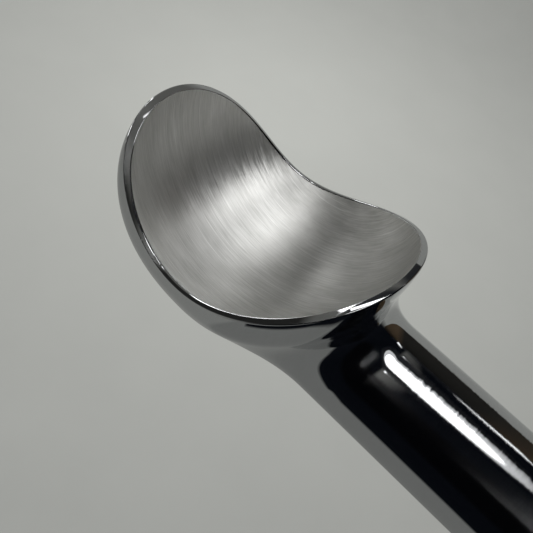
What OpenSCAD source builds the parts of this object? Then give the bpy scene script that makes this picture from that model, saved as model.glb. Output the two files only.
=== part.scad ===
// Ice cream scoop: a cast bowl, neck and hollow handle, charged with a sealed liquid.
// The origin is the middle of the butt. X runs along the handle to the tip of the bowl,
// and Z points up, the way the bowl opens. Sizes are in millimetres.

/* [Handle] */
// Outside diameter of the handle
handle_d = 28; // [26:0.5:32]
// Radius on the edge of the butt
butt_round = 1; // [0.4:0.1:1.4]
// Distance from the butt to the middle of the bowl's opening
bowl_x = 148; // [130:1:180]

/* [Rim] */
// Length of the opening, tip to heel
rim_len = 67; // [62:1:78]
// Width of the opening at its low sides
rim_w = 49; // [45:1:56]
// Height of the tip over the handle's axis
tip_h = 26.5; // [23:0.5:30]
// Height of the heel over the handle's axis
heel_h = 30.5; // [27:0.5:34]
// Height of the low sides over the handle's axis
side_h = 9.5; // [7:0.5:13]
// How far the low sides lie ahead of the opening's middle
side_ahead = 4; // [0:0.5:6]
// How much wider the opening is towards its heel than towards its tip
heel_full = 1.8; // [0:0.1:2.5]
// How square the opening's corners are, seen from above
rim_square = 2.9; // [0:0.1:3.5]

/* [Wall] */
// Height of the bowl's floor over the handle's axis
floor_h = -6; // [-8:0.5:-3]
// How far the floor's lowest point lies ahead of the opening's middle
floor_ahead = 2; // [0:0.5:4]
// Thickness of the bowl under its floor
floor_wall = 6.4; // [5:0.2:8]
// Mean thickness of the bowl's ends before they thin to the lip
end_wall = 2.9; // [2.4:0.1:3.5]
// Thickness of the bowl's low sides before they thin to the lip
side_wall = 4.4; // [3.4:0.1:5]
// Height over the handle's axis at which the bowl is widest outside
crown_h = 29; // [26:0.2:32]
// How far the middle of the bowl's outside lies ahead of the opening's middle
belly_ahead = 1.2; // [0.5:0.1:1.4]
// How square the bowl's outside is, seen from above: 2 is an ellipse
belly_square = 2.25; // [2:0.05:2.5]

/* [Lip] */
// Width of the lip at the tip
lip_tip = 2; // [1.2:0.1:2.4]
// Width of the lip at the heel
lip_heel = 1.6; // [1.2:0.1:1.8]
// Width of the lip at the low sides
lip_side = 1.4; // [1.2:0.1:2.4]
// Distance down the outside over which the wall thins to the lip
lip_run = 9; // [6:0.5:12]
// Radius on the outer edge of the lip
lip_round = 0.3; // [0.2:0.1:0.8]

/* [Neck] */
// Size of the blend between the bowl and the handle
neck_blend = 10.2; // [8:0.1:14]
// How far the end of the handle's nose lies ahead of the bowl's middle
nose_ahead = 2.5; // [-4:0.5:6]
// Radius on the handle's nose
nose_round = 12; // [8:0.5:12.5]

/* [Liquid chamber] */
// Diameter of the chamber
chamber_d = 17; // [13:0.5:17.5]
// Least wall between the chamber and the inside of the bowl
chamber_wall = 4.5; // [4:0.5:8]
// Height of the liquid over the handle's axis when the scoop lies level
fluid_h = 6; // [2:0.5:7]

/* [End plug] */
// Diameter of the plug's thread
thread_d = 18; // [18:0.5:19]
// Length of the plug's thread
thread_len = 10; // [8:0.5:14]
// Diameter of the plug's flange
flange_d = 22.8; // [22.4:0.2:23]
// Thickness of the plug's flange
flange_t = 4; // [4:0.2:6]
// Width of the O-ring's groove
gland_w = 1.7; // [1.4:0.1:1.8]
// Depth of the O-ring's groove
gland_h = 1.3; // [1:0.1:1.4]
// Diameter of the two holes for the plug's pin wrench
wrench_d = 2.4; // [1.6:0.2:2.6]
// Distance between the two wrench holes
wrench_pitch = 15; // [14:0.5:16]
// Depth of the two wrench holes
wrench_deep = 2.5; // [1.5:0.1:3]

/* [Fill screw] */
// Diameter of the fill screw's thread
screw_d = 5; // [4:0.5:5]
// Length of the fill screw under its head
screw_len = 8; // [6:0.5:9]
// Diameter of the fill screw's head
head_d = 8.5; // [7.5:0.1:9]
// Height of the fill screw's head
head_h = 2.4; // [2:0.1:2.8]
// Width across the flats of the head's hexagon socket
socket_af = 3; // [2:0.5:3.5]
// Depth of the hexagon socket
socket_deep = 1.4; // [1:0.1:1.6]
// Thickness of the sealing washer
washer_t = 0.8; // [0.5:0.1:1]

/* [End cap] */
// Diameter of the cap
cap_d = 24; // [23.6:0.2:24.4]
// Thickness of the cap
cap_t = 3; // [2:0.2:5]
// Radius on the edge of the cap's face
cap_round = 0.5; // [0.2:0.1:0.8]

/* [Clearances] */
// Radial gap of a thread, a press-in seat and the liquid's skin
fit_gap = 0.05; // [0.03:0.01:0.1]
// Gap round and over the fill screw's head, and at the end of the plug's thread
free_gap = 0.3; // [0.2:0.05:0.5]
// Height of the polishing step where the neck's skin runs out on the handle
polish_step = 0.05; // [0.03:0.01:0.1]

/* [Hidden] */
$fn = 96;
eps = 0.01;
over = 1;

// Mesh of the bowl and neck: columns round the rim, and rows inside, over the lip and outside
columns = 72;
inner_rows = 12;
lip_rows = 4;
outer_rows = 24;
settle_steps = 6;
slope_step = 0.02;
halvings = 24;
curve_pull = 0.45;
row_crowding = 1.4;
edge_step = 0.012;

handle_r = handle_d / 2;
skin_r = handle_r + polish_step;
nose_x = bowl_x + nose_ahead;

// Half axes of the outside of the bowl, a squarish ellipsoid round the point at crown_h
belly_x = bowl_x + belly_ahead;
bowl_a = rim_len / 2 + end_wall;
bowl_c = crown_h - floor_h + floor_wall;
bowl_b = (rim_w / 2 + side_wall) / sqrt(1 - pow((crown_h - side_h) / bowl_c, 2));

// Behind this station the blend has run out and the neck is as round as the handle
neck_margin = 1;
neck_x = belly_x - bowl_a - neck_blend - neck_margin;

// Stations of the closure, counted from the butt
seat_x = cap_t + flange_t;
plug_end_x = seat_x + thread_len;
chamber_x = plug_end_x + free_gap;
pocket_deep = head_h + washer_t + free_gap;
pocket_x = cap_t + pocket_deep;
chamber_r = chamber_d / 2;
thread_r = thread_d / 2;

// The chamber's round end stays chamber_wall away from the bowl's round inside
floor_x = bowl_x + floor_ahead;
heel_run = rim_len / 2 + floor_ahead;
heel_rise = heel_h - floor_h;
heel_r = (heel_run * heel_run + heel_rise * heel_rise) / (2 * heel_rise);
chamber_end_x = floor_x - sqrt(pow(heel_r + chamber_wall + chamber_r, 2) - pow(floor_h + heel_r, 2));

// Inner edge of the lip at angle t: 0 is the tip, 90 the left side, 180 the heel
rim_a = (rim_len - rim_square) / 2;
rim_b = rim_w / 2 + rim_square;
ends_h = (tip_h + heel_h) / 2;
function rim_point(t) = [
    bowl_x + rim_a * cos(t) + rim_square / 2 * cos(3 * t) + side_ahead / 2 * (1 - cos(2 * t)),
    rim_b * sin(t) - heel_full * sin(2 * t) + rim_square * sin(3 * t),
    (ends_h + side_h) / 2 + (tip_h - heel_h) / 2 * cos(t) + (ends_h - side_h) / 2 * cos(2 * t)
];

// The inside at angle t is an arc that leaves the floor level and ends at the rim.
// Its frame holds the level direction, the arc's radius and its angle.
function arc_frame(t) =
    let (p = rim_point(t), run = norm([p.x - floor_x, p.y]), rise = p.z - floor_h)
    [[(p.x - floor_x) / run, p.y / run, 0], (run * run + rise * rise) / (2 * rise), 2 * atan(rise / run)];

function inside_point(t, share) =
    let (f = arc_frame(t), a = f[2] * share)
    [floor_x, 0, floor_h] + f[1] * (sin(a) * f[0] + [0, 0, 1 - cos(a)]);

// Directions at the rim: up along the inside, and square to it into the wall
function rim_up(t) = let (f = arc_frame(t)) cos(f[2]) * f[0] + [0, 0, sin(f[2])];
function rim_out(t) = let (f = arc_frame(t)) sin(f[2]) * f[0] - [0, 0, cos(f[2])];

// Outside: the bowl's ellipsoid and the round-nosed handle, run together by a smooth minimum
function bowl_field(p) =
    let (ahead = abs(p.x - belly_x) / bowl_a, aside = abs(p.y) / bowl_b)
    let (level = pow(pow(ahead, belly_square) + pow(aside, belly_square), 1 / belly_square))
    bowl_a * (norm([level, (p.z - crown_h) / bowl_c]) - 1);

function handle_field(p) =
    let (along = p.x - nose_x + nose_round, across = norm([p.y, p.z]) - skin_r + nose_round)
    min(max(along, across), 0) + norm([max(along, 0), max(across, 0)]) - nose_round;

function smooth_min(a, b, size) =
    let (h = min(max(0.5 + (b - a) / (2 * size), 0), 1))
    b + (a - b) * h - size * h * (1 - h);

function skin_field(p) = smooth_min(bowl_field(p), handle_field(p), neck_blend);

function skin_slope(p) = [
    for (axis = [[1, 0, 0], [0, 1, 0], [0, 0, 1]])
        (skin_field(p + slope_step * axis) - skin_field(p - slope_step * axis)) / (2 * slope_step)
];

// Moves a point onto the outside
function settle(p, steps = settle_steps) =
    steps <= 0 ? p : let (g = skin_slope(p)) settle(p - g * skin_field(p) / (g * g), steps - 1);

// Thickness of the wall at the rim, found along a line by halving
function reach(p, way, low, high, steps = halvings) =
    let (mid = (low + high) / 2, inside = skin_field(p + mid * way) < 0)
    steps <= 0 ? mid : reach(p, way, inside ? mid : low, inside ? high : mid, steps - 1);

// Width of the lip, never more than the wall under it
function lip_width(t, wall) =
    min(wall, lip_side + ((cos(t) > 0 ? lip_tip : lip_heel) - lip_side) * pow(cos(t), 2));

// Outside at angle t: the lip's width, how far the wall thins there,
// and the points of a curve from the unthinned rim to the round end of the neck
function wall_frame(t) =
    let (p = rim_point(t), out = rim_out(t), wall = reach(p, out, 0, 4 * side_wall), width = lip_width(t, wall))
    let (top = p + wall * out, end = [neck_x, skin_r * sin(t), -skin_r * cos(t)])
    let (pull = curve_pull * norm(end - top))
    [width, wall - width, [top, top - pull * rim_up(t), end + [pull, 0, 0], end], pull];

// A point on the outside, at a share of the curve: settled on the skin, and drawn in towards the lip
function outside_point(frame, s) =
    let (c = frame[2], r = 1 - s)
    let (q = settle(r * r * r * c[0] + 3 * r * r * s * c[1] + 3 * r * s * s * c[2] + s * s * s * c[3]))
    let (near = max(1 - norm(q - c[0]) / lip_run, 0), g = skin_slope(q))
    q - frame[1] * near * near * g / norm(g);

// Points over the lip's outer edge, a round that turns from the land into the wall,
// and after them the points down the outside
function unit(v) = v / norm(v);
function outer_points(t) =
    let (frame = wall_frame(t), out = rim_out(t), corner = rim_point(t) + frame[0] * out)
    let (down = unit(outside_point(frame, edge_step) - corner), turn = acos(down * out))
    let (in = unit(down - (down * out) * out), edge_r = min(lip_round, frame[0] / 2))
    let (back = edge_r * tan(turn / 2), first = back / (3 * frame[3]))
    concat(
        [
            for (i = [0:lip_rows - 1])
                let (a = turn * i / (lip_rows - 1))
                corner + (edge_r * sin(a) - back) * out + edge_r * (1 - cos(a)) * in
        ],
        [
            for (i = [1:outer_rows])
                i == outer_rows
                    ? frame[2][3]
                    : outside_point(frame, first + (1 - first) * pow(i / outer_rows, row_crowding))
        ]
    );

// Solid bowl and neck, closed at the neck's round end
module bowl_and_neck() {
    angles = [for (j = [0:columns - 1]) 360 * j / columns];
    strips = [
        for (t = angles)
            concat(
                [for (i = [1:inner_rows]) inside_point(t, i / inner_rows)],
                outer_points(t)
            )
    ];
    rows = inner_rows + lip_rows + outer_rows;
    points = concat([[floor_x, 0, floor_h]], [for (strip = strips) each strip]);
    function at(j, i) = 1 + (j % columns) * rows + i;
    faces = [
        for (j = [0:columns - 1])
            each concat(
                [[0, at(j + 1, 0), at(j, 0)]],
                [for (i = [0:rows - 2]) [at(j + 1, i), at(j + 1, i + 1), at(j, i + 1)]],
                [for (i = [0:rows - 2]) [at(j + 1, i), at(j, i + 1), at(j, i)]]
            ),
        [for (j = [0:columns - 1]) at(j, rows - 1)]
    ];
    polyhedron(points, faces, convexity = 6);
}

// A cylinder along X from one station to another
module bar(r, from_x, to_x) {
    translate([from_x, 0, 0])
        rotate([0, 90, 0])
            cylinder(r = r, h = to_x - from_x);
}

// A cylinder along X whose edge at the first station is rounded
module round_bar(r, from_x, to_x, edge_r) {
    bar(r - edge_r, from_x, to_x);
    bar(r, from_x + edge_r, to_x);
    translate([from_x + edge_r, 0, 0])
        rotate([0, 90, 0])
            rotate_extrude()
                translate([r - edge_r, 0])
                    circle(edge_r, $fn = 48);
}

// The chamber, drawn smaller by a gap for the liquid that fills it
module chamber(gap) {
    bar(chamber_r - gap, chamber_x - eps + gap, chamber_end_x);
    translate([chamber_end_x, 0, 0])
        sphere(chamber_r - gap);
}

module scoop_body() {
    color([0.80, 0.81, 0.82])
        difference() {
            union() {
                bowl_and_neck();
                round_bar(handle_r, 0, neck_x + neck_blend / 2, butt_round);
            }
            bar(cap_d / 2, -over, cap_t);
            bar(flange_d / 2 + fit_gap, cap_t - eps, seat_x);
            bar(thread_r + gland_w, seat_x - eps, seat_x + gland_h);
            bar(thread_r, seat_x, chamber_x);
            chamber(0);
        }
}

module heat_fluid() {
    color([0.35, 0.60, 0.75])
        difference() {
            chamber(fit_gap);
            translate([0, -handle_r, fluid_h])
                cube([bowl_x, handle_d, handle_r]);
        }
}

module end_plug() {
    color([0.80, 0.68, 0.38])
        difference() {
            union() {
                bar(flange_d / 2, cap_t, seat_x);
                bar(thread_r - fit_gap, cap_t + flange_t / 2, plug_end_x);
            }
            bar(head_d / 2 + free_gap, cap_t - over, pocket_x);
            bar(screw_d / 2, pocket_x - eps, plug_end_x + over);
            for (side = [-1, 1])
                translate([0, side * wrench_pitch / 2, 0])
                    bar(wrench_d / 2, cap_t - over, cap_t + wrench_deep);
        }
}

module plug_o_ring() {
    ring_r = gland_h / 2;
    shift = gland_w / 2 - ring_r;
    color([0.10, 0.10, 0.11])
        translate([seat_x + ring_r, 0, 0])
            rotate([0, 90, 0])
                rotate_extrude()
                    translate([thread_r + gland_w / 2, 0])
                        union() {
                            square([2 * shift, gland_h], center = true);
                            for (side = [-1, 1])
                                translate([side * shift, 0])
                                    circle(ring_r, $fn = 48);
                        }
}

module fill_screw() {
    head_x = pocket_x - washer_t - head_h;
    color([0.62, 0.63, 0.65])
        difference() {
            union() {
                bar(head_d / 2, head_x, head_x + head_h);
                bar(screw_d / 2 - fit_gap, head_x + head_h / 2, pocket_x + screw_len);
            }
            translate([head_x - over, 0, 0])
                rotate([0, 90, 0])
                    cylinder(d = socket_af / cos(30), h = socket_deep + over, $fn = 6);
        }
}

module fill_washer() {
    color([0.86, 0.84, 0.77])
        difference() {
            bar(head_d / 2, pocket_x - washer_t, pocket_x);
            bar(screw_d / 2 + fit_gap, pocket_x - washer_t - over, pocket_x + over);
        }
}

module end_cap() {
    color([0.30, 0.31, 0.33])
        round_bar(cap_d / 2 - fit_gap, 0, cap_t, cap_round);
}

scoop_body();
heat_fluid();
end_plug();
plug_o_ring();
fill_screw();
fill_washer();
end_cap();
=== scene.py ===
"""Ice cream scoop: the looks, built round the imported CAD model."""

import math

import bpy
import numpy as np
from mathutils import Matrix, Vector


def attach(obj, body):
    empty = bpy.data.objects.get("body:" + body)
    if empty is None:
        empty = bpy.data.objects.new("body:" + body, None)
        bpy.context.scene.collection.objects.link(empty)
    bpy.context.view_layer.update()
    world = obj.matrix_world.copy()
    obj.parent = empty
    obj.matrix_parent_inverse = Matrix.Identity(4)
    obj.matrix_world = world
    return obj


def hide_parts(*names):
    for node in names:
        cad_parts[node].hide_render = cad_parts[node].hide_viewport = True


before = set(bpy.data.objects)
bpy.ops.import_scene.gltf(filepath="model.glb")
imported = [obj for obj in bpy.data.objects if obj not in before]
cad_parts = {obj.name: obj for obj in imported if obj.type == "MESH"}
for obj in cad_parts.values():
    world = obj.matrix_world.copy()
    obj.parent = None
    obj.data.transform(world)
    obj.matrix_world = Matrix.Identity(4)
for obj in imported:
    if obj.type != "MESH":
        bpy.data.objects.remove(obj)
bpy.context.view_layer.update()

# Sizes of the part in millimetres, the same as in its CAD source
MM = 0.001
HANDLE_R = 14.0
BUTT_ROUND = 1.0
BOWL_X = 148.0
RIM_LEN = 67.0
RIM_W = 49.0
TIP_H = 26.5
HEEL_H = 30.5
SIDE_H = 9.5
SIDE_AHEAD = 4.0
HEEL_FULL = 1.8
RIM_SQUARE = 2.9
FLOOR_H = -6.0
FLOOR_AHEAD = 2.0
FLOOR_WALL = 6.4
END_WALL = 2.9
SIDE_WALL = 4.4
CROWN_H = 29.0
BELLY_AHEAD = 1.2
BELLY_SQUARE = 2.25
LIP_TIP = 2.0
LIP_HEEL = 1.6
LIP_SIDE = 1.4
LIP_RUN = 9.0
LIP_ROUND = 0.3
NECK_BLEND = 10.2
NECK_MARGIN = 1.0
NOSE_AHEAD = 2.5
NOSE_ROUND = 12.0
CURVE_PULL = 0.45
ROW_CROWDING = 1.4
EDGE_STEP = 0.012
CHAMBER_R = 8.5
CHAMBER_WALL = 4.5
CAP_R = 12.0
CAP_T = 3.0
FLANGE_SEAT_R = 11.45
FLANGE_T = 4.0
GLAND_R = 10.7
GLAND_H = 1.3
THREAD_R = 9.0
THREAD_END_X = 17.3

# Small edge breaks that only the visual model has
INNER_BREAK_SIDE = 0.7
INNER_BREAK_END = 0.12
BORE_BREAK = 0.25

# Fineness of the visual mesh
COLUMNS = 288
INNER_ROWS = 64
BREAK_ROWS = 8
LIP_ROWS = 10
OUTER_ROWS = 120
HANDLE_ROWS = 24
ROUND_ROWS = 8
SETTLE_STEPS = 8
SLOPE_STEP = 0.01
HALVINGS = 40
SHARP_ANGLE = math.radians(35)

# Values that follow from the sizes
BELLY_X = BOWL_X + BELLY_AHEAD
BOWL_A = RIM_LEN / 2 + END_WALL
BOWL_C = CROWN_H - FLOOR_H + FLOOR_WALL
BOWL_B = (RIM_W / 2 + SIDE_WALL) / math.sqrt(1 - ((CROWN_H - SIDE_H) / BOWL_C) ** 2)
NECK_X = BELLY_X - BOWL_A - NECK_BLEND - NECK_MARGIN
NOSE_X = BOWL_X + NOSE_AHEAD
FLOOR_POINT = np.array([BOWL_X + FLOOR_AHEAD, 0.0, FLOOR_H])
HEEL_RUN = RIM_LEN / 2 + FLOOR_AHEAD
HEEL_R = (HEEL_RUN ** 2 + (HEEL_H - FLOOR_H) ** 2) / (2 * (HEEL_H - FLOOR_H))
CHAMBER_REACH = HEEL_R + CHAMBER_WALL + CHAMBER_R
CHAMBER_END_X = FLOOR_POINT[0] - math.sqrt(CHAMBER_REACH ** 2 - (FLOOR_H + HEEL_R) ** 2)
WALL_REACH = 4 * SIDE_WALL
UP = np.array([0.0, 0.0, 1.0])

# Camera of the photograph, in the part's frame and millimetres, but for the clip in metres
EYE = (100.96, 91.19, 123.71)
FORWARD = (0.2653, -0.5782, -0.7715)
RIGHT = (-0.7084, -0.6597, 0.2509)
SENSOR = 36.0
LENS = 43.9
CLIP_START = 0.01

# Middle of the ball that the brush lines in the bowl run round, in millimetres
BRUSH_MIDDLE = (150.0, 0.0, 27.0)
BRUSH_R = 33.0


# Shape of the body

def rim_points(t):
    """Inner edge of the lip at the angles t: 0 is the tip, a half turn the heel."""
    length = (RIM_LEN - RIM_SQUARE) / 2
    width = RIM_W / 2 + RIM_SQUARE
    ends_h = (TIP_H + HEEL_H) / 2
    x = BOWL_X + length * np.cos(t) + RIM_SQUARE / 2 * np.cos(3 * t) + SIDE_AHEAD / 2 * (1 - np.cos(2 * t))
    y = width * np.sin(t) - HEEL_FULL * np.sin(2 * t) + RIM_SQUARE * np.sin(3 * t)
    z = (ends_h + SIDE_H) / 2 + (TIP_H - HEEL_H) / 2 * np.cos(t) + (ends_h - SIDE_H) / 2 * np.cos(2 * t)
    return np.stack([x, y, z], -1)


def arc_frames(t):
    """Level direction, radius and angle of the inside's arcs from the floor to the rim."""
    way = rim_points(t) - FLOOR_POINT
    rise = way[:, 2].copy()
    way[:, 2] = 0
    run = np.linalg.norm(way, axis=1)
    return way / run[:, None], (run ** 2 + rise ** 2) / (2 * rise), 2 * np.arctan2(rise, run)


def inside_row(t, share, back=0.0):
    """A row of the inside, at a share of each arc less a length."""
    way, radius, angle = arc_frames(t)
    a = angle * share - back / radius
    return FLOOR_POINT + (radius * np.sin(a))[:, None] * way + (radius * (1 - np.cos(a)))[:, None] * UP


def rim_frames(t):
    """Directions at the rim: up along the inside, and square to it into the wall."""
    way, _, angle = arc_frames(t)
    up = np.cos(angle)[:, None] * way + np.sin(angle)[:, None] * UP
    out = np.sin(angle)[:, None] * way - np.cos(angle)[:, None] * UP
    return up, out


def bowl_field(p):
    """Signed distance, roughly, to the squarish ellipsoid of the bowl's outside."""
    ahead = np.abs(p[:, 0] - BELLY_X) / BOWL_A
    aside = np.abs(p[:, 1]) / BOWL_B
    level = (ahead ** BELLY_SQUARE + aside ** BELLY_SQUARE) ** (1 / BELLY_SQUARE)
    return BOWL_A * (np.hypot(level, (p[:, 2] - CROWN_H) / BOWL_C) - 1)


def handle_field(p):
    """Signed distance to the handle with its round nose."""
    along = p[:, 0] - NOSE_X + NOSE_ROUND
    across = np.hypot(p[:, 1], p[:, 2]) - HANDLE_R + NOSE_ROUND
    beyond = np.hypot(np.maximum(along, 0), np.maximum(across, 0))
    return np.minimum(np.maximum(along, across), 0) + beyond - NOSE_ROUND


def skin_field(p):
    """The two fields run together by a smooth minimum."""
    a = bowl_field(p)
    b = handle_field(p)
    h = np.clip(0.5 + (b - a) / (2 * NECK_BLEND), 0, 1)
    return b + (a - b) * h - NECK_BLEND * h * (1 - h)


def skin_slope(p):
    steps = np.eye(3) * SLOPE_STEP
    return np.stack([skin_field(p + d) - skin_field(p - d) for d in steps], -1) / (2 * SLOPE_STEP)


def settle(p):
    """Moves points onto the outside."""
    for _ in range(SETTLE_STEPS):
        slope = skin_slope(p)
        p = p - slope * (skin_field(p) / (slope ** 2).sum(1))[:, None]
    return p


def wall_at(p, out):
    """Thickness of the wall at the rim, found along a line by halving."""
    low = np.zeros(len(p))
    high = np.full(len(p), WALL_REACH)
    for _ in range(HALVINGS):
        mid = (low + high) / 2
        within = skin_field(p + mid[:, None] * out) < 0
        low = np.where(within, mid, low)
        high = np.where(within, high, mid)
    return (low + high) / 2


def ring(t, x, r):
    """A circle round the handle's axis."""
    return np.stack([np.full_like(t, x), r * np.sin(t), -r * np.cos(t)], -1)


def unit(v):
    return v / np.linalg.norm(v, axis=1)[:, None]


def wall_frames(t):
    """Width of the lip, how far the wall thins there, and curves from the unthinned rim to the neck."""
    p = rim_points(t)
    up, out = rim_frames(t)
    wall = wall_at(p, out)
    end_width = np.where(np.cos(t) > 0, LIP_TIP, LIP_HEEL)
    width = np.minimum(wall, LIP_SIDE + (end_width - LIP_SIDE) * np.cos(t) ** 2)
    top = p + wall[:, None] * out
    end = ring(t, NECK_X, HANDLE_R)
    pull = CURVE_PULL * np.linalg.norm(end - top, axis=1)
    curve = (top, top - pull[:, None] * up, end + pull[:, None] * [1, 0, 0], end)
    return width, wall - width, curve, pull


def outside_row(frames, s):
    """A row on the outside at a share of the curves, drawn in towards the lip."""
    _, thin, (top, leave, arrive, end), _ = frames
    s = np.reshape(s, (-1, 1))
    r = 1 - s
    q = settle(r ** 3 * top + 3 * r * r * s * leave + 3 * r * s * s * arrive + s ** 3 * end)
    near = np.maximum(1 - np.linalg.norm(q - top, axis=1) / LIP_RUN, 0)
    return q - (thin * near ** 2)[:, None] * unit(skin_slope(q))


def inner_break(t):
    """Radius on the lip's inner edge, widest at the low sides."""
    return INNER_BREAK_END + (INNER_BREAK_SIDE - INNER_BREAK_END) * np.sin(t) ** 2


def inner_edge_rows(t):
    """Rows round the lip's inner edge."""
    p = rim_points(t)
    up, out = rim_frames(t)
    edge_r = inner_break(t)[:, None]
    rows = []
    for i in range(1, BREAK_ROWS + 1):
        a = math.pi / 2 * i / BREAK_ROWS
        rows.append(p + edge_r * (1 - math.cos(a)) * out - edge_r * (1 - math.sin(a)) * up)
    return rows


def outer_rows(t):
    """Rows round the lip's outer edge, which turns from the land into the wall, and rows down the outside."""
    frames = wall_frames(t)
    width, _, curve, pull = frames
    _, out = rim_frames(t)
    corner = rim_points(t) + width[:, None] * out
    down = unit(outside_row(frames, EDGE_STEP) - corner)
    lean = (down * out).sum(1)
    turn = np.arccos(lean)
    within = unit(down - lean[:, None] * out)
    edge_r = np.minimum(LIP_ROUND, width / 2)
    back = edge_r * np.tan(turn / 2)
    lip = []
    for i in range(LIP_ROWS):
        a = turn * i / (LIP_ROWS - 1)
        reach = edge_r * np.sin(a) - back
        drop = edge_r * (1 - np.cos(a))
        lip.append(corner + reach[:, None] * out + drop[:, None] * within)
    first = back / (3 * pull)
    outside = []
    for i in range(1, OUTER_ROWS):
        outside.append(outside_row(frames, first + (1 - first) * (i / OUTER_ROWS) ** ROW_CROWDING))
    return lip, outside + [curve[3]]


def handle_rows(t):
    """Rows along the handle and round the edge of the butt."""
    rows = []
    for i in range(1, HANDLE_ROWS + 1):
        s = i / HANDLE_ROWS
        rows.append(ring(t, NECK_X * (1 - s) + BUTT_ROUND * s, HANDLE_R))
    for i in range(1, ROUND_ROWS + 1):
        a = math.pi / 2 * i / ROUND_ROWS
        rows.append(ring(t, BUTT_ROUND * (1 - math.sin(a)), HANDLE_R - BUTT_ROUND * (1 - math.cos(a))))
    rows.append(ring(t, 0, CAP_R + BORE_BREAK))
    return rows


def bore_rows(t):
    """Rows down the stepped bore of the closure and along the chamber."""
    seat_x = CAP_T + FLANGE_T
    steps = [
        (BORE_BREAK, CAP_R), (CAP_T, CAP_R), (CAP_T, FLANGE_SEAT_R), (seat_x, FLANGE_SEAT_R),
        (seat_x, GLAND_R), (seat_x + GLAND_H, GLAND_R), (seat_x + GLAND_H, THREAD_R),
        (THREAD_END_X, THREAD_R), (THREAD_END_X, CHAMBER_R), (CHAMBER_END_X, CHAMBER_R),
    ]
    for i in range(1, ROUND_ROWS):
        a = math.pi / 2 * i / ROUND_ROWS
        steps.append((CHAMBER_END_X + CHAMBER_R * math.sin(a), CHAMBER_R * math.cos(a)))
    return [ring(t, x, r) for x, r in steps]


def ring_pairs(count):
    """Each place on a ring with the one after it."""
    return [(j, (j + 1) % count) for j in range(count)]


def band(here, there, count):
    """Faces between two rings of points."""
    return [(here + j, there + j, there + k, here + k) for j, k in ring_pairs(count)]


def make_object(name, points, faces, smooth=False):
    """A mesh object in the scene."""
    mesh = bpy.data.meshes.new(name)
    mesh.from_pydata(points, [], faces)
    mesh.polygons.foreach_set("use_smooth", [smooth] * len(faces))
    made = bpy.data.objects.new(name, mesh)
    bpy.context.scene.collection.objects.link(made)
    return made


def closed_mesh(name, first, groups, last):
    """A closed skin from a first point over rows of points to a last point, one material slot per group."""
    rows = [row for group in groups for row in group]
    slots = [k for k, group in enumerate(groups) for _ in group]
    count = len(rows[0])
    points = np.concatenate([[first], *rows, [last]]) * MM
    faces = [(0, 1 + j, 1 + k) for j, k in ring_pairs(count)]
    for i in range(len(rows) - 1):
        faces += band(1 + i * count, 1 + (i + 1) * count, count)
    base = 1 + (len(rows) - 1) * count
    faces += [(base + j, len(points) - 1, base + k) for j, k in ring_pairs(count)]
    made = make_object(name, points.tolist(), faces, smooth=True)
    marks = np.repeat(slots + slots[-1:], count)
    made.data.polygons.foreach_set("material_index", marks.tolist())
    made.data.set_sharp_from_angle(angle=SHARP_ANGLE)
    made.data.update()
    return made


def make_body():
    """The bowl, neck and hollow handle in one fine skin."""
    t = np.arange(COLUMNS) * 2 * math.pi / COLUMNS
    inside = [inside_row(t, i / INNER_ROWS) for i in range(1, INNER_ROWS)]
    inside.append(inside_row(t, 1, inner_break(t)))
    outer_edge, outside = outer_rows(t)
    lip = inner_edge_rows(t) + outer_edge
    outside += handle_rows(t)
    bore_end = np.array([CHAMBER_END_X + CHAMBER_R, 0, 0])
    body = closed_mesh("scoop_shell", FLOOR_POINT, [inside, lip, outside, bore_rows(t)], bore_end)
    body.data.materials.append(brushed_metal())
    for name, (hair_lean, roughness) in POLISHES.items():
        body.data.materials.append(polish(name, hair_lean, roughness))
    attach(body, "root")
    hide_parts("scoop_body")


# Short ways to add shader nodes

def plug(tree, socket, value):
    """Links an output to a socket, or sets the socket's own value."""
    if isinstance(value, bpy.types.NodeSocket):
        tree.links.new(value, socket)
    else:
        socket.default_value = value


def add(tree, kind, inputs=None, **settings):
    """Adds a node with its settings and inputs."""
    made = tree.nodes.new(kind)
    for key, value in settings.items():
        setattr(made, key, value)
    for key, value in (inputs or {}).items():
        plug(tree, made.inputs[key], value)
    return made


def calc(tree, operation, *values):
    """A sum on numbers."""
    return add(tree, "ShaderNodeMath", dict(enumerate(values)), operation=operation).outputs[0]


def vector_calc(tree, operation, *values):
    """A sum on vectors."""
    return add(tree, "ShaderNodeVectorMath", dict(enumerate(values)), operation=operation).outputs[0]


def combine(tree, x, y, z):
    return add(tree, "ShaderNodeCombineXYZ", {0: x, 1: y, 2: z}).outputs[0]


def split(tree, vector):
    """The three numbers of a vector."""
    parts = add(tree, "ShaderNodeSeparateXYZ", {0: vector}).outputs
    return parts[0], parts[1], parts[2]


def noise(tree, vector, scale=1.0, detail=3.0, roughness=0.55):
    """Grey noise from 0 to 1."""
    values = {"Vector": vector, "Scale": scale, "Detail": detail, "Roughness": roughness}
    return add(tree, "ShaderNodeTexNoise", values).outputs[0]


def spread(tree, value, span, ends=(0.0, 1.0)):
    """Maps a span of numbers to the numbers between two ends and keeps within them."""
    return add(tree, "ShaderNodeMapRange", dict(enumerate((value, *span, *ends)))).outputs[0]


def least(tree, *values):
    """The lowest of some numbers."""
    lowest = values[0]
    for value in values[1:]:
        lowest = calc(tree, "MINIMUM", lowest, value)
    return lowest


def weighed(tree, *pairs):
    """A sum of values, each with its weight."""
    total = 0.0
    for value, weight in pairs:
        total = calc(tree, "MULTIPLY_ADD", value, weight, total)
    return total


def centred(tree, value, amount):
    """A 0 to 1 value turned into one that swings about zero."""
    return calc(tree, "MULTIPLY", calc(tree, "SUBTRACT", value, 0.5), amount)


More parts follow.
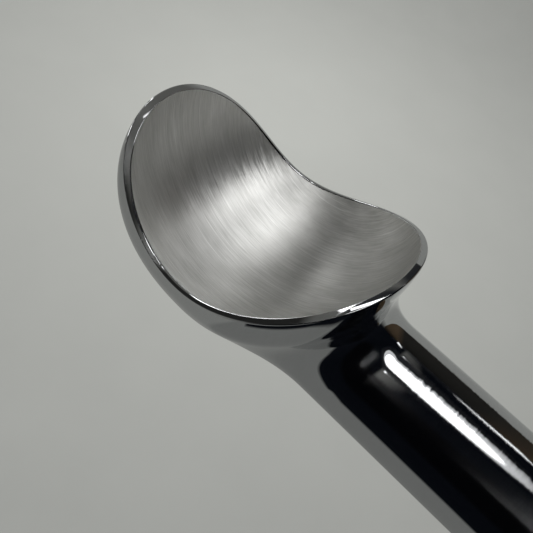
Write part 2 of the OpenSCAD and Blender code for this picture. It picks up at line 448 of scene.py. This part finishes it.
def blend_colours(tree, share, colours):
    """A colour between two, by a share."""
    made = add(tree, "ShaderNodeMix", {"Factor": share}, data_type="RGBA")
    made.inputs[6].default_value = (*colours[0], 1)
    made.inputs[7].default_value = (*colours[1], 1)
    return made.outputs[2]


def place_mm(tree):
    """Place on the object in millimetres."""
    place = add(tree, "ShaderNodeTexCoord").outputs["Object"]
    return vector_calc(tree, "MULTIPLY", place, (1 / MM,) * 3)


def bump(tree, height, strength, distance_mm):
    """A normal from a height."""
    values = {"Strength": strength, "Distance": distance_mm * MM, "Height": height}
    return add(tree, "ShaderNodeBump", values).outputs[0]


def tilted_normal(tree, way, amount):
    """The surface's normal, leaned along a direction of the part by an amount."""
    lean = vector_calc(tree, "SCALE", way)
    plug(tree, lean.node.inputs["Scale"], amount)
    settings = {"vector_type": "VECTOR", "convert_from": "OBJECT", "convert_to": "WORLD"}
    lean = add(tree, "ShaderNodeVectorTransform", {0: lean}, **settings).outputs[0]
    normal = add(tree, "ShaderNodeNewGeometry").outputs["Normal"]
    return vector_calc(tree, "NORMALIZE", vector_calc(tree, "ADD", normal, lean))


def new_material(name):
    """A material with its node tree and its shader."""
    material = bpy.data.materials.new(name)
    material.use_nodes = True
    return material, material.node_tree, material.node_tree.nodes["Principled BSDF"]


def set_inputs(tree, shader, values):
    for key, value in values.items():
        plug(tree, shader.inputs[key], value)


# Materials of the body, with colours from dark to light and roughness from low to high

# Where most values of a noise lie
NOISE_SPAN = (0.3, 0.7)

# Marks in the bowl: the length, width and shift of each kind, in millimetres
LONG_LINES = (16.0, 0.36, 0.0)
FINE_LINES = (6.0, 0.16, 7.0)
PATCHES = (14.0, 5.0, 3.0)
SCRATCHES = (30.0, 0.3, 11.0)
SCRATCH_SPAN = (0.6, 0.72)
LINE_SHARE = 0.7
PATCH_SHARE = 0.3
SCRATCH_SHARE = 0.2
BRUSH_COLOURS = ((0.33, 0.33, 0.315), (0.67, 0.67, 0.655))
BRUSH_ROUGHNESS = (0.45, 0.50)
BRUSH_ANISOTROPY = 0.79
BRUSH_LEAN = 0.3

# Hairlines round the handle: how close they are, and where they fade along it and down its sides
HAIRS_PER_MM = 8.0
HAIRS_PER_RADIAN = 2.5
HAIR_END_X = (98.0, 112.0)
HAIR_SIDE_Z = (5.0, 11.0)
HAIR_SHARE = 0.6
POLISH_CLOUD_SHARE = 0.4
POLISH_CLOUD_SCALE = 0.06
POLISH_COLOURS = ((0.60, 0.61, 0.62), (0.67, 0.68, 0.69))

# Lean of the hairlines and roughness, for each polished group of the shell in its order
POLISHES = {
    "polished_lip": (0.05, (0.03, 0.06)),
    "polished_skin": (0.17, (0.02, 0.05)),
    "bored_metal": (0.2, (0.25, 0.35)),
}


def streaks(tree, along, across, sizes):
    """Noise drawn out along the brush lines, by a length, a width and a shift."""
    length, width, shift = sizes
    run = calc(tree, "DIVIDE", along, length)
    return noise(tree, combine(tree, run, calc(tree, "DIVIDE", across, width), shift))


def brushed_metal():
    """Inside of the bowl: satin metal with brush lines from the tip to the heel."""
    material, tree, shader = new_material("brushed_bowl")
    x, y, z = split(tree, place_mm(tree))
    ahead = calc(tree, "SUBTRACT", x, BRUSH_MIDDLE[0])
    below = calc(tree, "SUBTRACT", BRUSH_MIDDLE[2], z)
    along = calc(tree, "MULTIPLY", calc(tree, "ARCTAN2", ahead, below), BRUSH_R)
    marks = [streaks(tree, along, y, sizes) for sizes in (LONG_LINES, FINE_LINES, PATCHES, SCRATCHES)]
    lines = weighed(tree, (marks[0], 0.5), (marks[1], 0.5))
    scratches = spread(tree, marks[3], SCRATCH_SPAN)
    tone = weighed(tree, (lines, LINE_SHARE), (marks[2], PATCH_SHARE), (scratches, SCRATCH_SHARE))
    way = vector_calc(tree, "NORMALIZE", combine(tree, below, 0.0, ahead))
    set_inputs(tree, shader, {
        "Base Color": blend_colours(tree, spread(tree, tone, NOISE_SPAN), BRUSH_COLOURS),
        "Metallic": 1.0,
        "Roughness": spread(tree, tone, NOISE_SPAN, BRUSH_ROUGHNESS),
        "Anisotropic": BRUSH_ANISOTROPY,
        "Tangent": combine(tree, 0.0, 1.0, 0.0),
        "Normal": tilted_normal(tree, way, centred(tree, lines, BRUSH_LEAN)),
    })
    return material


def polish(name, hair_lean, roughness):
    """Polished metal with hairlines round the handle and a faint clouding."""
    material, tree, shader = new_material(name)
    place = place_mm(tree)
    x, y, z = split(tree, place)
    run = calc(tree, "MULTIPLY", x, HAIRS_PER_MM)
    turn = calc(tree, "MULTIPLY", calc(tree, "ARCTAN2", y, z), HAIRS_PER_RADIAN)
    hairs = noise(tree, combine(tree, run, turn, 0.0), detail=4)
    around = vector_calc(tree, "NORMALIZE", combine(tree, 0.0, z, calc(tree, "MULTIPLY", y, -1.0)))
    on_top = calc(tree, "MULTIPLY", spread(tree, x, HAIR_END_X, (1.0, 0.0)), spread(tree, z, HAIR_SIDE_Z))
    lean = calc(tree, "MULTIPLY", centred(tree, hairs, hair_lean), on_top)
    clouds = noise(tree, place, scale=POLISH_CLOUD_SCALE, detail=2)
    tone = weighed(tree, (hairs, HAIR_SHARE), (clouds, POLISH_CLOUD_SHARE))
    set_inputs(tree, shader, {
        "Base Color": blend_colours(tree, spread(tree, tone, NOISE_SPAN), POLISH_COLOURS),
        "Metallic": 1.0,
        "Roughness": spread(tree, tone, NOISE_SPAN, roughness),
        "Normal": tilted_normal(tree, around, lean),
    })
    return material


# Materials of the closure, with each bump's strength and its depth in millimetres

CAP_COLOURS = ((0.055, 0.057, 0.06), (0.075, 0.077, 0.08))
CAP_ROUGHNESS = (0.42, 0.58)
CAP_GRAIN_SCALE = 3.0
CAP_CLOUD_SCALE = 0.3
CAP_BUMP = (0.35, 0.05)
BRASS_COLOURS = ((0.56, 0.40, 0.16), (0.70, 0.52, 0.24))
STEEL_COLOURS = ((0.42, 0.42, 0.43), (0.56, 0.56, 0.57))
TURNED_ROUGHNESS = (0.22, 0.36)
TURNED_BUMP = (0.3, 0.02)
RINGS_PER_MM = 6.0
NYLON_COLOURS = ((0.68, 0.66, 0.58), (0.76, 0.74, 0.66))
NYLON_ROUGHNESS = (0.4, 0.55)
NYLON_GRAIN_SCALE = 1.5
RUBBER_COLOURS = ((0.015, 0.015, 0.016), (0.03, 0.03, 0.032))
RUBBER_ROUGHNESS = (0.5, 0.7)
RUBBER_GRAIN_SCALE = 2.0
GRAIN_BUMP = (0.2, 0.03)
LIQUID_COLOURS = ((0.62, 0.80, 0.88), (0.70, 0.86, 0.92))
LIQUID_ROUGHNESS = (0.02, 0.06)
LIQUID_CLOUD_SCALE = 0.2
LIQUID_IOR = 1.4
LIQUID_CLEARNESS = 0.9


def cap_plastic():
    """Dark moulded plastic with a fine grain."""
    material, tree, shader = new_material("cap_plastic")
    place = place_mm(tree)
    grain = noise(tree, place, scale=CAP_GRAIN_SCALE, detail=4)
    cloud = noise(tree, place, scale=CAP_CLOUD_SCALE, detail=2)
    set_inputs(tree, shader, {
        "Base Color": blend_colours(tree, cloud, CAP_COLOURS),
        "Roughness": spread(tree, grain, NOISE_SPAN, CAP_ROUGHNESS),
        "Normal": bump(tree, grain, *CAP_BUMP),
    })
    return material


def turned_metal(name, colours):
    """Turned metal with fine rings round the handle's axis."""
    material, tree, shader = new_material(name)
    x, y, z = split(tree, place_mm(tree))
    squares = calc(tree, "ADD", calc(tree, "MULTIPLY", y, y), calc(tree, "MULTIPLY", z, z))
    away = calc(tree, "MULTIPLY", calc(tree, "SQRT", squares), RINGS_PER_MM)
    run = calc(tree, "MULTIPLY", x, RINGS_PER_MM)
    rings = noise(tree, combine(tree, away, run, 0.0))
    set_inputs(tree, shader, {
        "Base Color": blend_colours(tree, rings, colours),
        "Metallic": 1.0,
        "Roughness": spread(tree, rings, NOISE_SPAN, TURNED_ROUGHNESS),
        "Normal": bump(tree, rings, *TURNED_BUMP),
    })
    return material


def plain_grain(name, colours, roughness, scale):
    """A matt material with a fine grain."""
    material, tree, shader = new_material(name)
    grain = noise(tree, place_mm(tree), scale=scale, detail=3)
    set_inputs(tree, shader, {
        "Base Color": blend_colours(tree, grain, colours),
        "Roughness": spread(tree, grain, NOISE_SPAN, roughness),
        "Normal": bump(tree, grain, *GRAIN_BUMP),
    })
    return material


def sealed_liquid():
    """The charge in the chamber, clear with a blue tint."""
    material, tree, shader = new_material("sealed_liquid")
    cloud = noise(tree, place_mm(tree), scale=LIQUID_CLOUD_SCALE, detail=2)
    set_inputs(tree, shader, {
        "Base Color": blend_colours(tree, cloud, LIQUID_COLOURS),
        "Roughness": spread(tree, cloud, NOISE_SPAN, LIQUID_ROUGHNESS),
        "IOR": LIQUID_IOR,
        "Transmission Weight": LIQUID_CLEARNESS,
    })
    return material


def dress_closure():
    """Gives each CAD node of the closure its material."""
    dress = {
        "end_cap": cap_plastic(),
        "end_plug": turned_metal("turned_brass", BRASS_COLOURS),
        "fill_screw": turned_metal("turned_steel", STEEL_COLOURS),
        "fill_washer": plain_grain("washer_nylon", NYLON_COLOURS, NYLON_ROUGHNESS, NYLON_GRAIN_SCALE),
        "plug_o_ring": plain_grain("seal_rubber", RUBBER_COLOURS, RUBBER_ROUGHNESS, RUBBER_GRAIN_SCALE),
        "heat_fluid": sealed_liquid(),
    }
    for node, material in dress.items():
        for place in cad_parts[node].material_slots:
            place.material = material


# Stage, in metres
STAGE_MIDDLE = (0.092, 0.0)
STAGE_Z = -0.6
STAGE_FLAT_R = 1.3
STAGE_SWEEP_R = 0.5
STAGE_WALL_H = 1.6
STAGE_COLUMNS = 96
STAGE_FLAT_ROWS = 4
STAGE_SWEEP_ROWS = 16

# Middle of a pool of light painted on the floor in metres, and how far from it the painted light fades in
# millimetres
PAINTED_POOL_MIDDLE = (0.6, -0.72)
PAINTED_POOL_SPAN = (100.0, 900.0)

# The paper's colour from the edge of the painted pool of light to its middle, its own brightness with the
# same painted pool, the share of that in what is seen, and its finish
PAPER_COLOURS = ((0.42, 0.425, 0.41), (0.56, 0.57, 0.54))
PAPER_GLOW_COLOURS = ((0.28, 0.285, 0.27), (0.57, 0.58, 0.547))
PAPER_GLOW_SHARE = 0.8
PAPER_ROUGHNESS = 0.9
PAPER_SHEEN = 0.2
PAPER_PAINTED_POOL_SHARE = 0.9
PAPER_CLOUD_SHARE = 0.1
PAPER_CLOUD_SCALE = 0.012


def stage_profile():
    """Radius and height of each ring of the floor, from the middle out."""
    profile = [(STAGE_FLAT_R * k / STAGE_FLAT_ROWS, 0.0) for k in range(1, STAGE_FLAT_ROWS + 1)]
    for i in range(1, STAGE_SWEEP_ROWS + 1):
        a = math.pi / 2 * i / STAGE_SWEEP_ROWS
        profile.append((STAGE_FLAT_R + STAGE_SWEEP_R * math.sin(a), STAGE_SWEEP_R * (1 - math.cos(a))))
    profile.append((STAGE_FLAT_R + STAGE_SWEEP_R, STAGE_WALL_H))
    return profile


def stage_floor():
    """A round pale floor that sweeps up into a wall on all sides."""
    profile = stage_profile()
    points = [(*STAGE_MIDDLE, STAGE_Z)]
    for r, h in profile:
        for j in range(STAGE_COLUMNS):
            a = 2 * math.pi * j / STAGE_COLUMNS
            points.append((STAGE_MIDDLE[0] + r * math.cos(a), STAGE_MIDDLE[1] + r * math.sin(a), STAGE_Z + h))
    faces = [(0, 1 + j, 1 + k) for j, k in ring_pairs(STAGE_COLUMNS)]
    for i in range(len(profile) - 1):
        faces += band(1 + i * STAGE_COLUMNS, 1 + (i + 1) * STAGE_COLUMNS, STAGE_COLUMNS)
    floor = make_object("stage_floor", points, faces, smooth=True)
    floor.data.materials.append(stage_paper())


def stage_paper():
    """Pale paper that keeps shadows and shows its own level to the camera and in reflections, with a pool of
    light painted on it.
    """
    material, tree, shader = new_material("stage_paper")
    place = place_mm(tree)
    cloud = noise(tree, place, scale=PAPER_CLOUD_SCALE, detail=3)
    # Painted pool of light: the paper's colour and glow are lighter near one place and fade with distance,
    # mixed with a faint random cloud
    away = vector_calc(tree, "DISTANCE", place, tuple(v / MM for v in (*PAINTED_POOL_MIDDLE, STAGE_Z)))
    painted_pool = spread(tree, away.node.outputs["Value"], PAINTED_POOL_SPAN, (1.0, 0.0))
    share = weighed(tree, (painted_pool, PAPER_PAINTED_POOL_SHARE), (cloud, PAPER_CLOUD_SHARE))
    set_inputs(tree, shader, {
        "Base Color": blend_colours(tree, share, PAPER_COLOURS),
        "Roughness": PAPER_ROUGHNESS,
        "Specular IOR Level": PAPER_SHEEN,
    })
    # The glow seen by the camera and in reflections carries the same painted pool of light
    glow = add(tree, "ShaderNodeEmission", {"Color": blend_colours(tree, share, PAPER_GLOW_COLOURS)})
    path = add(tree, "ShaderNodeLightPath").outputs
    seen = calc(tree, "ADD", path["Is Camera Ray"], path["Is Glossy Ray"])
    seen = calc(tree, "ADD", seen, path["Is Transmission Ray"])
    seen = calc(tree, "MINIMUM", seen, 1.0)
    mixed = add(tree, "ShaderNodeMixShader")
    plug(tree, mixed.inputs[0], calc(tree, "MULTIPLY", seen, PAPER_GLOW_SHARE))
    tree.links.new(shader.outputs[0], mixed.inputs[1])
    tree.links.new(glow.outputs[0], mixed.inputs[2])
    out = next(n for n in tree.nodes if n.type == "OUTPUT_MATERIAL")
    tree.links.new(mixed.outputs[0], out.inputs["Surface"])
    return material


# A screen round the set that only shows in reflections, a painted dark reflection with a glowing part that
# paints paler reflections, part of a ball round the object, in metres and degrees
SCREEN_MIDDLE = (0.1, 0.0, 0.0)
SCREEN_R = 0.33
SCREEN_TURN = (5, 365)
SCREEN_RISE = (-90, 76)
SCREEN_STEP = 5
SCREEN_ROWS = 30

# Its top edge, which is lower over the bowl, and its near corner, in millimetres
TOP_EDGE_Z = (300.0, 318.0)
TOP_DROP = 24.0
TOP_DROP_X = (100.0, 125.0)
TOP_DROP_Y = (0.0, 25.0)
CORNER_SLOPE = -0.9
CORNER_EDGE = (12.0, 36.0)

# Its lower edge, which falls on the far side and rises on the near side and under the bowl
LOW_EDGE_Z = (-234.0, -208.0)
LOW_COVER = 0.48
LOW_SOFT = 24.0
LOW_SOFT_Y = (-60.0, 60.0)
FAR_FALL = (-0.6, -0.35)
FAR_FALL_X = (40.0, 80.0)
NEAR_RISE = 36.0
NEAR_RISE_Y = (40.0, 160.0)
BOWL_RISE = 60.0
BOWL_RISE_X = (122.0, 146.0)

# Its thin part ahead of the tip, its far opening, and its gap for the edge panel
AHEAD_COVER = 0.45
AHEAD_X = (210.0, 300.0)
AHEAD_TOP_Z = (20.0, 90.0)
FAR_EDGE_Y = (-215.0, -175.0)
FAR_TOP_Z = (90.0, 150.0)
FAR_TOP_X = (180.0, 220.0)
GAP_X = (240.0, 270.0)
GAP_FAR_Y = (-190.0, -165.0)
GAP_NEAR_Y = (-30.0, -10.0)
GAP_LOW_Z = (50.0, 75.0)
GAP_HIGH_Z = (140.0, 165.0)

# Its painted dark colour and its painted glow, and where the painted glow is dimmer
SCREEN_PAINTED_DARK_COLOUR = (0.004, 0.004, 0.005, 1)
SCREEN_PAINTED_GLOW_COLOURS = ((0.0015, 0.0022, 0.0035), (0.118, 0.118, 0.11))
PAINTED_PALE_EDGE = (140.0, 157.0)
PAINTED_PALE_SLOPE = 0.15
DIP_LEVEL = 0.15
DIP_LOW_Z = (0.0, 40.0)
DIP_HIGH_Z = (245.0, 270.0)
DIP_NEAR_Y = (20.0, 60.0)


def top_cover(tree, x, y, z):
    """Open above the object, but closed in the near corner."""
    ahead = spread(tree, x, TOP_DROP_X, (0.0, TOP_DROP))
    drop = least(tree, ahead, spread(tree, y, TOP_DROP_Y, (TOP_DROP, 0.0)))
    high = spread(tree, calc(tree, "ADD", z, drop), TOP_EDGE_Z, (1.0, 0.0))
    corner = spread(tree, weighed(tree, (x, CORNER_SLOPE), (y, 1.0)), CORNER_EDGE)
    return calc(tree, "MAXIMUM", high, corner)


def low_cover(tree, x, y, z):
    """Thin below the lower edge."""
    fall = spread(tree, x, FAR_FALL_X, FAR_FALL)
    behind = calc(tree, "MAXIMUM", calc(tree, "MULTIPLY", y, fall), 0.0)
    near = spread(tree, y, NEAR_RISE_Y, (0.0, NEAR_RISE))
    bowl = spread(tree, x, BOWL_RISE_X, (0.0, BOWL_RISE))
    sunk = weighed(tree, (z, 1.0), (behind, 1.0), (near, -1.0), (bowl, -1.0))
    soft = spread(tree, y, LOW_SOFT_Y, (LOW_SOFT, 0.0))
    start = calc(tree, "SUBTRACT", LOW_EDGE_Z[0], soft)
    end = calc(tree, "ADD", LOW_EDGE_Z[1], soft)
    return spread(tree, sunk, (start, end), (LOW_COVER, 1.0))


def ahead_cover(tree, x, z):
    """Thin ahead of the tip, except higher up."""
    side = spread(tree, x, AHEAD_X, (1.0, AHEAD_COVER))
    return calc(tree, "MAXIMUM", side, spread(tree, z, AHEAD_TOP_Z))


def far_cover(tree, x, y, z):
    """Open at the far side, except high up and ahead."""
    above = least(tree, spread(tree, z, FAR_TOP_Z), spread(tree, x, FAR_TOP_X))
    return calc(tree, "MAXIMUM", spread(tree, y, FAR_EDGE_Y), above)


def gap_cover(tree, x, y, z):
    """Closed but for the gap that the edge panel shows through."""
    gap_y = least(tree, spread(tree, y, GAP_NEAR_Y, (1.0, 0.0)), spread(tree, y, GAP_FAR_Y))
    gap_z = least(tree, spread(tree, z, GAP_LOW_Z), spread(tree, z, GAP_HIGH_Z, (1.0, 0.0)))
    return calc(tree, "SUBTRACT", 1.0, least(tree, gap_y, gap_z, spread(tree, x, GAP_X)))


def screen_cover(tree, x, y, z):
    """How much the screen hides of what lies behind it."""
    cover = least(tree, top_cover(tree, x, y, z), low_cover(tree, x, y, z), ahead_cover(tree, x, z))
    cover = calc(tree, "MULTIPLY", cover, far_cover(tree, x, y, z))
    return calc(tree, "MULTIPLY", cover, gap_cover(tree, x, y, z))


def painted_screen_glow(tree, y, z):
    """Strength of the screen's painted glow, less where it is level with the near side."""
    rise = least(tree, spread(tree, z, DIP_LOW_Z), spread(tree, z, DIP_HIGH_Z, (1.0, 0.0)))
    dip = least(tree, rise, spread(tree, y, DIP_NEAR_Y))
    return spread(tree, dip, (0.0, 1.0), (1.0, DIP_LEVEL))


def painted_reflection_sheet():
    """A painted dark reflection with a glowing paler part ahead, a painted reflection, open in places."""
    material, tree, shader = new_material("painted_reflection_screen")
    x, y, z = split(tree, place_mm(tree))
    # Painted reflection: a glow that is pale ahead of the bowl and near black elsewhere, seen only in mirrors
    pale = spread(tree, weighed(tree, (x, 1.0), (z, PAINTED_PALE_SLOPE)), PAINTED_PALE_EDGE)
    set_inputs(tree, shader, {
        "Base Color": SCREEN_PAINTED_DARK_COLOUR,
        "Emission Color": blend_colours(tree, pale, SCREEN_PAINTED_GLOW_COLOURS),
        "Emission Strength": painted_screen_glow(tree, y, z),
        "Roughness": 1.0,
        "Specular IOR Level": 0.0,
        "Alpha": screen_cover(tree, x, y, z),
    })
    return material


def painted_reflection_screen():
    """The screen of painted reflections, which only shows in reflections."""
    turns = range(SCREEN_TURN[0], SCREEN_TURN[1] + 1, SCREEN_STEP)
    points = []
    for rise in np.radians(np.linspace(*SCREEN_RISE, SCREEN_ROWS)):
        for turn in np.radians(turns):
            way = (math.cos(rise) * math.cos(turn), math.cos(rise) * math.sin(turn), math.sin(rise))
            points.append([m + SCREEN_R * w for m, w in zip(SCREEN_MIDDLE, way)])
    count = len(turns)
    faces = []
    for i in range(SCREEN_ROWS - 1):
        for j in range(count - 1):
            here = i * count + j
            faces.append((here, here + 1, here + count + 1, here + count))
    screen = make_object("painted_reflection_screen", points, faces)
    screen.data.materials.append(painted_reflection_sheet())
    only_in_reflections(screen)


def only_in_reflections(made):
    made.visible_camera = False
    made.visible_diffuse = False
    made.visible_shadow = False


# A dark card on the far side that only shows in reflections, a painted dark reflection, in metres, with a
# warm part that fades along it in millimetres
CARD_X = (-1.5, 0.15)
CARD_Y = -1.0
CARD_Z = (0.22, 1.2)
CARD_WARM_X = (-300.0, -50.0)
CARD_PAINTED_REFLECTION_COLOURS = ((0.025, 0.024, 0.022), (0.10, 0.07, 0.045))


def painted_far_reflection_card():
    """The dark card, a painted dark and warm reflection over the backdrop's reflection."""
    corners = [(CARD_X[0], CARD_Z[0]), (CARD_X[1], CARD_Z[0]), (CARD_X[1], CARD_Z[1]), (CARD_X[0], CARD_Z[1])]
    card = make_object("painted_far_reflection_card", [(x, CARD_Y, z) for x, z in corners], [(0, 1, 2, 3)])
    material, tree, shader = new_material("painted_far_reflection_card")
    # Painted reflection: warm brown at one end of the card, fading to near black
    painted_warm = spread(tree, split(tree, place_mm(tree))[0], CARD_WARM_X, (1.0, 0.0))
    set_inputs(tree, shader, {
        "Base Color": blend_colours(tree, painted_warm, CARD_PAINTED_REFLECTION_COLOURS),
        "Roughness": 1.0,
        "Specular IOR Level": 0.0,
    })
    card.data.materials.append(material)
    only_in_reflections(card)


# Light panels in metres, turned in plan, and the dim world
PANEL_Z = 1.2
HALO_Z = 1.21
KEY_TURN = math.radians(44)
SIDE_TURN = math.radians(33)
HEEL_TURN = math.radians(54)
EDGE_PLACE = (1.47, -0.38, 0.62)
EDGE_TARGET = (0.16, 0.026, 0.01)
WORLD_COLOURS = ((0.018, 0.019, 0.021), (0.16, 0.16, 0.155))


def level(x, y, turn=0.0, z=PANEL_Z):
    """The pose of a level panel that shines down, turned in plan."""
    return Matrix.Translation((x, y, z)) @ Matrix.Rotation(turn, 4, "Z")


def facing(place, target):
    """The pose of a panel that faces a point."""
    way = Vector(target) - Vector(place)
    return Matrix.Translation(place) @ way.to_track_quat("-Z", "Y").to_matrix().to_4x4()


def panel(name, pose, size_x, size_y, power, shape="RECTANGLE"):
    """A soft light panel."""
    data = bpy.data.lights.new(name, "AREA")
    data.shape = shape
    data.size = size_x
    data.size_y = size_y
    data.energy = power
    made = bpy.data.objects.new(name, data)
    bpy.context.scene.collection.objects.link(made)
    made.matrix_world = pose
    made.visible_camera = False


def dim_room():
    """A dim world, lighter ahead of the bowl's tip."""
    world = bpy.data.worlds.new("studio")
    world.use_nodes = True
    tree = world.node_tree
    way = add(tree, "ShaderNodeTexCoord").outputs["Generated"]
    ahead = calc(tree, "MAXIMUM", split(tree, way)[0], 0.0)
    share = calc(tree, "MULTIPLY", ahead, ahead)
    plug(tree, tree.nodes["Background"].inputs["Color"], blend_colours(tree, share, WORLD_COLOURS))
    bpy.context.scene.world = world


def make_lights():
    panel("key_panel", level(0.078, 0.035, KEY_TURN), 0.48, 0.36, 0.7, "ELLIPSE")
    panel("key_halo", level(0.03, -0.02, KEY_TURN, HALO_Z), 0.66, 0.44, 0.5, "ELLIPSE")
    panel("left_panel", level(-0.49, 0.87), 0.44, 1.2, 19.5)
    panel("right_panel", level(0.37, 0.95), 0.46, 1.0, 14.4)
    panel("rim_panel", level(0.75, -0.1), 0.34, 0.5, 2.6)
    panel("side_panel", level(-0.13, -0.89, SIDE_TURN), 0.24, 0.11, 0.28)
    panel("heel_panel", level(0.34, -0.29, HEEL_TURN), 0.6, 0.09, 0.5)
    panel("edge_panel", facing(EDGE_PLACE, EDGE_TARGET), 0.28, 0.3, 1.25)
    painted_reflection_screen()
    painted_far_reflection_card()
    dim_room()


def make_camera():
    """The photograph's camera."""
    data = bpy.data.cameras.new("photo_camera")
    data.sensor_width = SENSOR
    data.sensor_fit = "HORIZONTAL"
    data.lens = LENS
    data.clip_start = CLIP_START
    camera = bpy.data.objects.new("photo_camera", data)
    bpy.context.scene.collection.objects.link(camera)
    forward = Vector(FORWARD).normalized()
    up = Vector(RIGHT).cross(forward).normalized()
    right = forward.cross(up)
    axes = Matrix((right, up, -forward)).transposed()
    camera.matrix_world = Matrix.Translation(Vector(EYE) * MM) @ axes.to_4x4()
    bpy.context.scene.camera = camera


make_camera()
stage_floor()
make_lights()
make_body()
dress_closure()
bpy.context.scene.view_settings.view_transform = "Standard"
